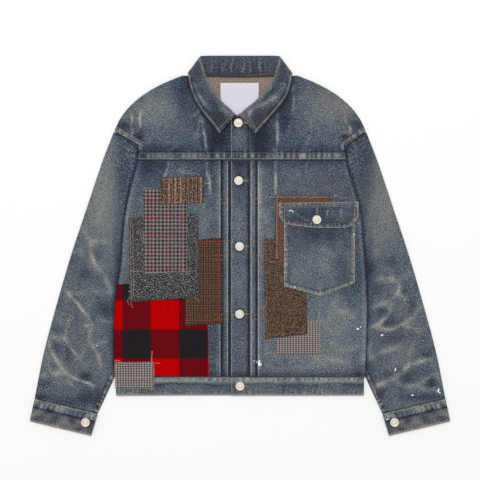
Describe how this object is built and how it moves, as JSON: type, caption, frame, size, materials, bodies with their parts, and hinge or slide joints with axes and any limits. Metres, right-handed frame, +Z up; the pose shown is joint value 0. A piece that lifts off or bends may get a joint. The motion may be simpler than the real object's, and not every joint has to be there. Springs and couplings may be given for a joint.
{
  "type": "patched denim jacket laid flat",
  "caption": "Denim work jacket laid flat and buttoned, with woollen patches on its fronts, a flapped chest pocket, pleats, a rolled collar and buttoned cuffs.",
  "frame": {"origin": "on the surface that the jacket lies on, under the middle of its outline", "axes": "+X towards the wearer's left cuff, +Y towards the collar, +Z up, away from the surface"},
  "size_m": [0.882, 0.7966, 0.0131],
  "materials": {
    "denim": "washed indigo twill, worn pale on the seams and shoulders, orange-brown stitching",
    "wool_red": "brushed red and black plaid wool",
    "wool_grey": "charcoal tweed with pale flecks",
    "wool_brown": "brown tweeds: checked, striped and herringbone",
    "wool_check": "small checks in white, navy, red and brown",
    "button": "cream-gold rimmed shank button with a paler centre",
    "label": "plain pale woven label, left bare"
  },
  "bodies": {
    "root": {"back": "denim", "front_right": "denim", "front_left": "denim", "yoke_right": "denim", "yoke_left": "denim", "waistband": "denim", "sleeve_right": "denim", "sleeve_left": "denim", "cuff_right": "denim", "cuff_left": "denim", "collar": "denim", "label": "label", "pocket": "denim", "pocket_flap": "denim", "patch_red_plaid": "wool_red", "patch_glen_check": "wool_brown", "patch_charcoal": "wool_grey", "patch_grey_check": "wool_check", "patch_brown_stripe": "wool_brown", "patch_chest_check": "wool_check", "patch_dark_brown": "wool_brown", "patch_rust": "wool_brown", "patch_hem_check": "wool_check", "button_neck": "button", "button_chest": "button", "button_middle": "button", "button_lower": "button", "button_waist": "button", "button_pocket": "button", "button_cuff_right": "button", "button_cuff_left": "button"}
  },
  "joints": []
}
